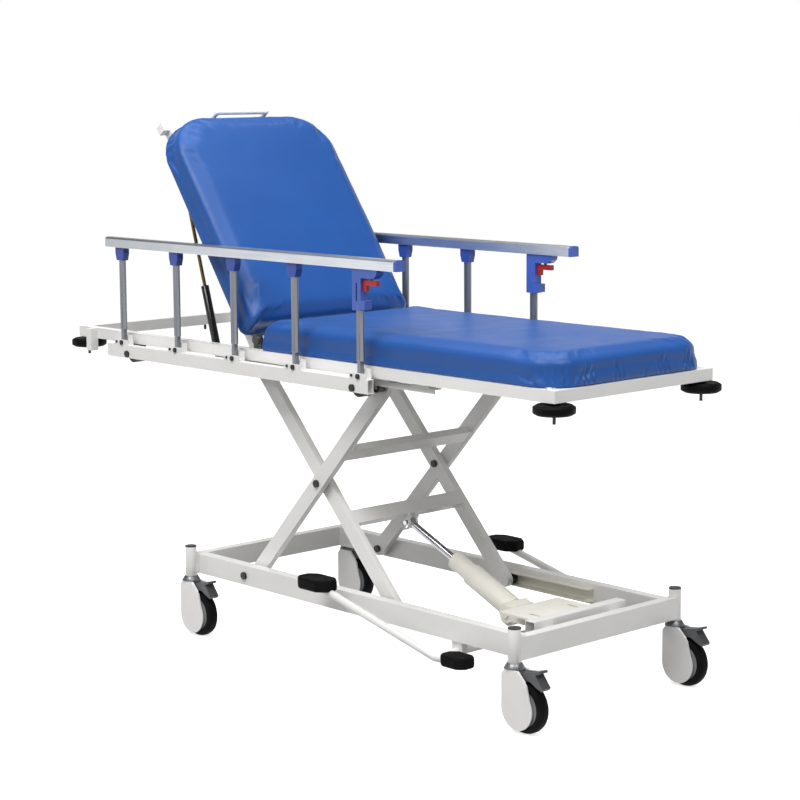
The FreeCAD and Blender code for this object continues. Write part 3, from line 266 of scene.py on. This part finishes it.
def leather_cloth(name, colour):
    """Smooth polyurethane-coated cloth: fine pebbled grain, soft sheen and gentle colour drift."""
    f = Finish(name, IOR=1.42, Sheen_Weight=0.05, Sheen_Roughness=0.40)
    tone = f.ramp(f.noise(4.0, 4.0, 0.6), [(0.28, scaled(colour, 0.93)), (0.72, scaled(colour, 1.05))])
    pores = f.voronoi(950.0)
    dark = f.ramp(pores, [(0.0, (1, 1, 1)), (0.12, (0, 0, 0))])
    f.colour(f.mixed(f.maths("MULTIPLY", dark, 0.10), tone, scaled(colour, 0.70)))
    f.rough(f.noise(11.0, 4.0, 0.6), 0.38, 0.46)
    weave = f.noise(1500.0, 2.0, 0.5)
    f.bump((pores, 0.08, 0.0003), (weave, 0.05, 0.0002), (f.noise(30.0, 3.0, 0.55), 0.05, 0.0015))
    return f.material


def wheel_finish(name, joint):
    """A castor wheel: black tyre and pale grey moulded centre, told apart by distance from the axle."""
    f = Finish(name, IOR=1.30, Specular_IOR_Level=0.15)
    centre = JOINTS[joint]["pos_m"]
    axle = JOINTS[joint]["axis"]
    away = f.add("ShaderNodeVectorMath", operation="SUBTRACT")
    f.join(f.place, away.inputs[0])
    away.inputs[1].default_value = centre
    cross = f.add("ShaderNodeVectorMath", operation="CROSS_PRODUCT")
    f.join(away.outputs["Vector"], cross.inputs[0])
    cross.inputs[1].default_value = axle
    size = f.add("ShaderNodeVectorMath", operation="LENGTH")
    f.join(cross.outputs["Vector"], size.inputs[0])
    radius = size.outputs["Value"]
    rubber = f.ramp(f.noise(40.0, 5.0, 0.65), [(0.3, srgb(7, 7, 8)), (0.75, srgb(22, 21, 21))])
    core = f.ramp(f.noise(18.0, 3.0), [(0.3, srgb(126, 128, 130)), (0.7, srgb(150, 151, 152))])
    outer = f.span(radius, 0.0, 1.0, TYRE_INSIDE - 0.0005, TYRE_INSIDE + 0.0005)
    f.colour(f.mixed(outer, core, rubber))
    f.rough(f.noise(30.0, 3.0, 0.6), 0.50, 0.72)
    step = f.span(radius, 0.0, 1.0, TYRE_INSIDE - 0.001, TYRE_INSIDE + 0.001)
    f.bump((f.noise(700.0, 2.0), 0.15, 0.0003), (step, 0.4, 0.0006))
    return f.material


def banded_by_height(name, metal_colour, sleeve_colour, height):
    """A drawn aluminium post whose top carries a coloured plastic sleeve, from that height up."""
    f = Finish(name)
    hair = f.noise(1.0, 2.0, 0.6, f.stretched((300.0, 300.0, 4.0)))
    bare = f.ramp(hair, [(0.3, scaled(metal_colour, 0.88)), (0.7, scaled(metal_colour, 1.04))])
    tones = [(0.3, scaled(sleeve_colour, 0.88)), (0.7, scaled(sleeve_colour, 1.06))]
    plastic = f.ramp(f.noise(20.0, 4.0), tones)
    upper = f.span(f.axis("Z"), 0.0, 1.0, height - 0.0004, height + 0.0004)
    f.colour(f.mixed(upper, bare, plastic))
    f.join(f.span(upper, 0.75, 0.0), f.shader.inputs["Metallic"])
    wear = f.span(f.noise(30.0, 3.0), -0.05, 0.06, 0.3, 0.7)
    f.join(f.maths("ADD", f.span(upper, 0.32, 0.42), wear), f.shader.inputs["Roughness"])
    f.bump((hair, 0.02, 0.0001), (f.noise(650.0, 2.0), 0.04, 0.0001))
    return f.material


def caps_and_bearings(name, split):
    """Black plastic post caps above a height, dark zinc-plated swivel bearings and stems below it."""
    f = Finish(name)
    upper = f.span(f.axis("Z"), 0.0, 1.0, split - 0.001, split + 0.001)
    plastic = f.ramp(f.noise(40.0, 4.0), [(0.3, srgb(18, 18, 19)), (0.7, srgb(32, 32, 33))])
    zinc = f.ramp(f.noise(30.0, 4.0, 0.6), [(0.3, srgb(104, 105, 108)), (0.7, srgb(138, 139, 142))])
    f.colour(f.mixed(upper, zinc, plastic))
    f.join(f.span(upper, 0.85, 0.0), f.shader.inputs["Metallic"])
    f.rough(f.noise(60.0, 3.0), 0.32, 0.48)
    f.bump((f.noise(500.0, 2.0), 0.06, 0.0002))
    return f.material


WHITE = srgb(242, 241, 239)
PAD_BLUE = srgb(19, 76, 148)
# Heights in metres at which the post sleeves and the corner posts' black caps begin.
SLEEVE_FOOT = 1.022
CAP_FOOT = 0.240
# The hand rails carry painted shade, darker towards the head: from x, to x, and how dark at the first.
RAIL_PAINTED_SHADE = (-0.75, 0.30, 0.70)

FINISHES = {
    "frame": painted("white_powder_coat", WHITE, dust=0.06),
    "hood": painted("white_gloss_castor_hood", srgb(246, 244, 243), (0.16, 0.24), 0.5, 0.04, dust=0.03),
    "pump": painted("cream_cast_pump_paint", srgb(250, 247, 236), (0.30, 0.42), 0.2, 0.10, dust=0.03),
    "channel": painted("cream_channel_paint", srgb(232, 229, 216), (0.34, 0.50), 0.1, 0.08, dust=0.08),
    "brake": moulded("dark_grey_brake_lever", srgb(66, 67, 70), (0.34, 0.50)),
    "steel": brushed("grey_steel_hinge", srgb(84, 85, 87), "Y", (0.34, 0.50), 0.6, 0.02),
    "bolt": brushed("black_oxide_bolt", srgb(30, 30, 31), "Y", (0.34, 0.55), 0.45, 0.05),
    "rubber": rubbery("black_pedal_rubber", srgb(12, 11, 12), (62.0, "X")),
    "bumper": rubbery("black_bumper_rubber", srgb(8, 7, 8), (40.0, "Z"), (0.45, 0.65)),
    "chrome": brushed("chromed_ram_rod", srgb(190, 191, 195), "X", (0.08, 0.16), 1.0, 0.01),
    # The hand rails' colour carries painted shade, darker towards the head.
    "rail": brushed("anodised_hand_rail", srgb(222, 226, 232), "X", (0.26, 0.34), 1.0, 0.01, RAIL_PAINTED_SHADE),
    "post": banded_by_height("rail_post_and_sleeve", srgb(130, 132, 138), srgb(48, 78, 162), SLEEVE_FOOT),
    "latch": moulded("blue_latch_plastic", srgb(66, 98, 182), (0.30, 0.42)),
    "trigger": moulded("red_trigger_plastic", srgb(176, 24, 22), (0.28, 0.40)),
    "spring_tube": painted("black_gas_spring_paint", srgb(16, 16, 17), (0.18, 0.28), 0.3, 0.03),
    "spring_rod": brushed("dark_bronze_spring_rod", srgb(104, 90, 58), "Z", (0.18, 0.28), 0.95, 0.02),
    "cover": leather_cloth("blue_coated_cloth", PAD_BLUE),
    "caps": caps_and_bearings("black_caps_zinc_bearings", CAP_FOOT),
}

WEARS = {
    "base_frame": "frame", "corner_posts": "frame", "low_roller_channels": "channel", "pump_bracket": "pump",
    "base_pivot_bolts": "bolt", "post_caps_and_swivel_bearings": "caps", "outer_arms": "frame",
    "inner_arms": "frame", "lift_mid_bolts": "bolt", "top_rollers": "bolt", "low_rollers": "bolt",
    "pump_body": "pump", "pump_ram": "chrome", "pedal_frame": "frame", "pedal_pads": "rubber",
    "top_frame": "frame", "leg_deck": "frame", "lift_channels_top": "frame", "top_frame_fittings": "bolt",
    "iv_pole_socket": "frame", "backrest_hinges": "steel", "side_rail_bars": "frame",
    "backrest_frame": "frame", "gas_spring_tube": "spring_tube", "gas_spring_rod": "spring_rod",
}
for corner in CORNERS:
    WEARS["castor_hood_" + corner] = "hood"
    WEARS["castor_brake_" + corner] = "brake"
for node in NODES:
    if node.startswith("bumper_wheel_"):
        WEARS[node] = "bumper"
for side in SIDES:
    WEARS["side_rail_" + side] = "rail"
    WEARS["rail_latch_" + side] = "latch"
    WEARS["rail_trigger_" + side] = "trigger"
    for number in range(1, 6):
        WEARS[f"rail_post_{side}_{number}"] = "post"


def wear(node, material):
    """Gives a CAD node its finish, one material over all its slots."""
    slots = NODES[node].data.materials
    if not slots:
        slots.append(material)
    for index in range(len(slots)):
        slots[index] = material


for node, finish in WEARS.items():
    wear(node, FINISHES[finish])
for corner in CORNERS:
    wear("castor_wheel_" + corner, wheel_finish("castor_wheel_rubber_" + corner, "wheel_spin_" + corner))


# ----------------------------------------------------------------- cushions

def rounded_outline(length, width, inset, radii, steps=10):
    """Plan outline of a pad, u from 0 to length and v across; radii at (u low, u high)."""
    half = width / 2 - inset
    points = []
    centres = [
        (inset, -half, radii[0], 180), (length - inset, -half, radii[1], 270),
        (length - inset, half, radii[1], 0), (inset, half, radii[0], 90),
    ]
    for u, v, radius, first in centres:
        radius = max(radius - inset, 0.004)
        cu = u + (radius if first in (180, 90) else -radius)
        cv = v + (radius if v < 0 else -radius)
        for step in range(steps + 1):
            angle = math.radians(first + 90 * step / steps)
            points.append((cu + radius * math.cos(angle), cv + radius * math.sin(angle)))
    return points


def pad_blank(name, length, width, height, radii, edge, inset):
    """The closed starting shape of a cushion: flat below, rounded over above."""
    mesh = bmesh.new()
    rings = [(inset + 0.003, 0.0), (inset, 0.004)]
    for step in range(7):
        turn = math.radians(90 * step / 6)
        rings.append((inset + edge * (1 - math.cos(turn)), height - edge + edge * math.sin(turn)))
    loops = []
    for pull, level in rings:
        outline = rounded_outline(length, width, pull, radii)
        loops.append([mesh.verts.new((u, v, level)) for u, v in outline])
    count = len(loops[0])
    for lower, upper in zip(loops, loops[1:]):
        for i in range(count):
            j = (i + 1) % count
            mesh.faces.new((lower[i], lower[j], upper[j], upper[i]))
    mesh.faces.new(list(reversed(loops[0])))
    mesh.faces.new(loops[-1])
    data = bpy.data.meshes.new(name)
    mesh.to_mesh(data)
    mesh.free()
    piece = bpy.data.objects.new(name, data)
    bpy.context.scene.collection.objects.link(piece)
    return piece


def bake_modifiers(piece):
    """Turns the piece's modifiers into plain mesh."""
    view = bpy.context.evaluated_depsgraph_get()
    view.update()
    data = bpy.data.meshes.new_from_object(piece.evaluated_get(view))
    piece.modifiers.clear()
    piece.data = data


def points_of(piece):
    flat = np.zeros(len(piece.data.vertices) * 3)
    piece.data.vertices.foreach_get("co", flat)
    return flat.reshape(-1, 3)


def put_points(piece, points):
    piece.data.vertices.foreach_set("co", points.reshape(-1))
    piece.data.update()


def inflate(piece, voxel, pressure, cap, frames=20):
    """Swells the blank as stuffed cloth held flat along its underside."""
    remesh = piece.modifiers.new("remesh", "REMESH")
    remesh.mode = "VOXEL"
    remesh.voxel_size = voxel
    bake_modifiers(piece)
    before = points_of(piece)
    group = piece.vertex_groups.new(name="held")
    group.add([int(i) for i in np.where(before[:, 2] < 0.003)[0]], 1.0, "REPLACE")
    cloth = piece.modifiers.new("cloth", "CLOTH")
    settings = cloth.settings
    settings.quality = 5
    settings.mass = 0.3
    settings.tension_stiffness = 12
    settings.compression_stiffness = 12
    settings.shear_stiffness = 5
    settings.bending_stiffness = 2.0
    settings.use_pressure = True
    settings.uniform_pressure_force = pressure
    settings.vertex_group_mass = "held"
    settings.effector_weights.gravity = 0
    scene = bpy.context.scene
    scene.frame_start = 1
    scene.frame_end = frames
    for number in range(1, frames + 1):
        scene.frame_set(number)
    bake_modifiers(piece)
    after = points_of(piece)
    moved = after - before
    size = np.linalg.norm(moved, axis=1)
    limit = np.minimum(1.0, cap / np.maximum(size, 1e-9))
    put_points(piece, before + moved * limit[:, None])
    piece.vertex_groups.clear()
    scene.frame_set(1)


def soft_noise(point, scale, seed):
    return noise.noise(Vector((point[0] * scale + seed, point[1] * scale, point[2] * scale)))


def fill_plan(points, length, width):
    """Draws the swollen pad out to its full length and width."""
    low = points.min(axis=0)
    high = points.max(axis=0)
    points[:, 0] = (points[:, 0] - low[0]) * length / (high[0] - low[0])
    points[:, 1] *= width / (high[1] - low[1])
    return points


def finish_cushion(piece, shape, place):
    """Smooths and creases the swollen pad, then sets it in place and dresses it."""
    smooth = piece.modifiers.new("smooth", "SUBSURF")
    smooth.levels = 1
    smooth.render_levels = 1
    bake_modifiers(piece)
    bpy.context.view_layer.update()
    normals = np.zeros(len(piece.data.vertices) * 3)
    piece.data.vertices.foreach_get("normal", normals)
    points = shape(points_of(piece), normals.reshape(-1, 3))
    put_points(piece, points)
    piece.data.transform(place)
    for polygon in piece.data.polygons:
        polygon.use_smooth = True
    piece.data.materials.clear()
    piece.data.materials.append(FINISHES["cover"])


def drape(points, normals, seed, rest):
    """Slow hollows in the cover, fading out on the underside."""
    out = points.copy()
    for i, point in enumerate(points):
        if point[2] < rest:
            continue
        fade = min(1.0, (point[2] - rest) / 0.02)
        push = 0.0016 * soft_noise(point, 5.0, seed) + 0.0006 * soft_noise(point, 17.0, seed + 9)
        out[i] = point + normals[i] * push * fade
    return out


# The hem's gathers at the foot end: metres along the edge, depth in millimetres, metres up the side.
GATHER_WIDTH = 0.0042
GATHERS = (
    (-0.262, 2.0, 0.034), (-0.236, 2.8, 0.048), (-0.180, 2.4, 0.040), (-0.164, 3.8, 0.056),
    (-0.147, 2.8, 0.044), (-0.078, 2.0, 0.034), (-0.062, 3.6, 0.052), (-0.048, 2.6, 0.038),
    (0.030, 1.4, 0.026), (0.084, 2.6, 0.040), (0.099, 3.8, 0.056), (0.115, 2.8, 0.046),
    (0.182, 2.6, 0.038), (0.197, 3.6, 0.054), (0.214, 2.4, 0.036), (0.258, 2.4, 0.036),
)


def pleats(points, normals, length, width, radius):
    """Short upright folds where the elastic hem is gathered, across the foot end and round its corners."""
    out = points.copy()
    straight = width / 2 - radius
    for i, (u, v, w) in enumerate(points):
        if u < length - radius - 0.02 or abs(normals[i][2]) > 0.8:
            continue
        run = v
        if abs(v) > straight:
            turn = math.atan2(abs(v) - straight, max(u - (length - radius), 1e-4))
            run = math.copysign(straight + turn * radius, v)
        push = 0.0
        for at, depth, top in GATHERS:
            away = (run - at - 0.004 * math.sin(w * 90.0 + at * 400.0)) / GATHER_WIDTH
            if abs(away) > 4.0:
                continue
            fade = max(0.0, min(1.0, (top - w) / 0.016)) * max(0.0, min(1.0, (w - 0.002) / 0.008))
            fold = 0.2 * math.exp(-((abs(away) - 2.0) ** 2)) - math.exp(-away * away)
            push += depth * 0.001 * fade * fold
        out[i] = points[i] + normals[i] * push
    return out


# Stuffing: the blanks start lower by what they swell, and no point moves further than the cap.
VOXEL = 0.006
PRESSURE = 4.0
SWELL = 0.007
SWELL_CAP = 0.010
PROUD = 0.004
HINGE_CORNER = 0.022

leg_low, leg_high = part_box("leg_cushion")
LEG_LENGTH = leg_high.x - leg_low.x
LEG_WIDTH = leg_high.y - leg_low.y
LEG_HEIGHT = leg_high.z - leg_low.z
# The cover's hem hangs just past the deck's edge, down to the frame.
deck_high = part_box("leg_deck")[1]
DECK_HALF = deck_high.y + 0.002
DECK_FOOT = deck_high.x + 0.002 - leg_low.x
HEM_DROP = leg_low.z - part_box("top_frame")[1].z - 0.0004
CORNER = 0.095


def leg_shape(points, normals):
    points = drape(fill_plan(points, LEG_LENGTH, LEG_WIDTH), normals, 2.0, 0.004)
    points = pleats(points, normals, LEG_LENGTH, LEG_WIDTH, CORNER)
    points[:, 2] = np.clip(points[:, 2], 0.0, LEG_HEIGHT + PROUD)
    beyond = np.maximum(np.abs(points[:, 1]) - DECK_HALF, points[:, 0] - DECK_FOOT)
    low = np.clip(1.0 - points[:, 2] / 0.012, 0.0, 1.0)
    points[:, 2] -= HEM_DROP * low * np.clip(beyond / 0.004, 0.0, 1.0)
    return points


leg_pad = pad_blank(
    "leg_pad", LEG_LENGTH, LEG_WIDTH, LEG_HEIGHT - SWELL, (HINGE_CORNER, CORNER), 0.024, 0.003
)
inflate(leg_pad, VOXEL, PRESSURE, SWELL_CAP)
finish_cushion(leg_pad, leg_shape, Matrix.Translation((leg_low.x, 0.0, leg_low.z)))

# The backrest's hinge and lean; UP runs up the backrest and OUT leaves its front face.
HINGE = JOINTS["backrest"]["pos_m"]
LEAN = math.radians(55.0)
UP = Vector((-math.cos(LEAN), 0.0, math.sin(LEAN)))
OUT = Vector((math.sin(LEAN), 0.0, math.cos(LEAN)))
BACK_LENGTH = 0.669
BACK_HEIGHT = 0.079
BACK_WIDTH = LEG_WIDTH + 0.012
BACK_CORNER = 0.135


def back_shape(points, normals):
    points = drape(fill_plan(points, BACK_LENGTH, BACK_WIDTH), normals, 7.0, 0.004)
    points[:, 2] = np.clip(points[:, 2], 0.0, BACK_HEIGHT + PROUD)
    return points


back_pad = pad_blank(
    "back_pad", BACK_LENGTH, LEG_WIDTH, BACK_HEIGHT - SWELL, (HINGE_CORNER, BACK_CORNER), 0.026, 0.0
)
inflate(back_pad, VOXEL, PRESSURE, SWELL_CAP)
back_place = Matrix.Identity(4)
back_place.col[0] = (*UP, 0.0)
back_place.col[1] = (0.0, -1.0, 0.0, 0.0)
back_place.col[2] = (*OUT, 0.0)
BACK_ABOVE_HINGE = 0.024
BACK_BEHIND_HINGE = 0.022
foot_of_pad = Vector((HINGE[0], 0.0, HINGE[2])) + UP * BACK_ABOVE_HINGE - OUT * BACK_BEHIND_HINGE
back_place.col[3] = (*foot_of_pad, 1.0)
finish_cushion(back_pad, back_shape, back_place)

for piece, node, body in ((leg_pad, "leg_cushion", "top"), (back_pad, "back_cushion", "backrest")):
    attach(piece, body)
    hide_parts(node)


# ------------------------------------------------------- edges of the metal

def soften_edges(node, width=0.0007):
    """Small rounded edges that catch the light."""
    piece = NODES[node]
    weld = piece.modifiers.new("weld", "WELD")
    weld.merge_threshold = 0.00002
    bevel = piece.modifiers.new("bevel", "BEVEL")
    bevel.width = width
    bevel.segments = 2
    bevel.limit_method = "ANGLE"
    bevel.angle_limit = math.radians(38)
    bevel.harden_normals = True


for node in NODES:
    if node not in ("leg_cushion", "back_cushion"):
        soften_edges(node)


# ----------------------------------------------------- floor, light, camera

def floor(radius):
    mesh = bmesh.new()
    bmesh.ops.create_circle(mesh, cap_ends=True, cap_tris=False, segments=96, radius=radius)
    data = bpy.data.meshes.new("floor")
    mesh.to_mesh(data)
    mesh.free()
    piece = bpy.data.objects.new("floor", data)
    bpy.context.scene.collection.objects.link(piece)
    f = Finish(
        "pale_floor", Specular_IOR_Level=0.1, Emission_Color=(1.0, 1.0, 1.0, 1.0), Emission_Strength=0.70
    )
    f.colour(f.ramp(f.noise(0.4, 2.0), [(0.3, (0.92, 0.92, 0.92)), (0.7, (0.95, 0.95, 0.95))]))
    f.rough(f.noise(3.0, 2.0), 0.85, 0.95)
    data.materials.append(f.material)
    return piece


def softbox(name, position, target, width, height, power):
    data = bpy.data.lights.new(name, "AREA")
    data.shape = "RECTANGLE"
    data.size = width
    data.size_y = height
    data.energy = power
    lamp = bpy.data.objects.new(name, data)
    lamp.location = position
    lamp.rotation_euler = (Vector(target) - Vector(position)).to_track_quat("-Z", "Y").to_euler()
    bpy.context.scene.collection.objects.link(lamp)


ground = floor(120.0)
ground.location.z = box_before[0][2] - 0.0005
ground.visible_diffuse = False
centre = (Vector(box_before[0]) + Vector(box_before[1])) / 2
softbox("key", centre + Vector((0.3, -3.2, 4.0)), centre, 3.0, 2.2, 185)
softbox("overhead", centre + Vector((-0.4, 0.3, 3.6)), centre, 3.6, 2.6, 85)
softbox("foot_fill", centre + Vector((3.3, -0.6, 3.8)), centre, 2.4, 2.0, 112)

# The studio's brightness by height: dark below, white along the horizon, grey overhead.
SKY = ((0.0, 0.05), (0.47, 0.08), (0.487, 1.0), (0.58, 1.0), (0.67, 0.24), (1.0, 0.28))
world = bpy.data.worlds.new("studio")
bpy.context.scene.world = world
world.use_nodes = True
sky = world.node_tree
direction = sky.nodes.new("ShaderNodeTexCoord")
split = sky.nodes.new("ShaderNodeSeparateXYZ")
level = sky.nodes.new("ShaderNodeMapRange")
level.inputs["From Min"].default_value = -1.0
shade = sky.nodes.new("ShaderNodeValToRGB")
sky.links.new(direction.outputs["Generated"], split.inputs["Vector"])
sky.links.new(split.outputs["Z"], level.inputs["Value"])
sky.links.new(level.outputs["Result"], shade.inputs["Fac"])
sky.links.new(shade.outputs["Color"], sky.nodes["Background"].inputs["Color"])
while len(shade.color_ramp.elements) < len(SKY):
    shade.color_ramp.elements.new(0.5)
for element, (height, grey) in zip(shade.color_ramp.elements, SKY):
    element.position = height
    element.color = (grey, grey, grey, 1.0)

EYE = Vector((4.2175, -3.7581, 1.5029))
AZIMUTH = math.radians(47.42)
ELEVATION = math.radians(8.0)
ROLL = math.radians(-0.36)
back = Vector((
    math.sin(AZIMUTH) * math.cos(ELEVATION), -math.cos(AZIMUTH) * math.cos(ELEVATION), math.sin(ELEVATION)
))
right = Vector((math.cos(AZIMUTH), math.sin(AZIMUTH), 0.0))
above = back.cross(right)
right, above = (
    right * math.cos(ROLL) + above * math.sin(ROLL),
    above * math.cos(ROLL) - right * math.sin(ROLL),
)
lens = bpy.data.cameras.new("camera")
lens.lens = 95.68
lens.sensor_width = 36.0
lens.shift_x = -0.0009
lens.shift_y = -0.0202
camera = bpy.data.objects.new("camera", lens)
bpy.context.scene.collection.objects.link(camera)
pose = Matrix.Identity(4)
for column, vector in enumerate((right, above, back, EYE)):
    pose.col[column] = (*vector, 1.0 if column == 3 else 0.0)
camera.matrix_world = pose
bpy.context.scene.camera = camera
bpy.context.scene.view_settings.view_transform = "Standard"
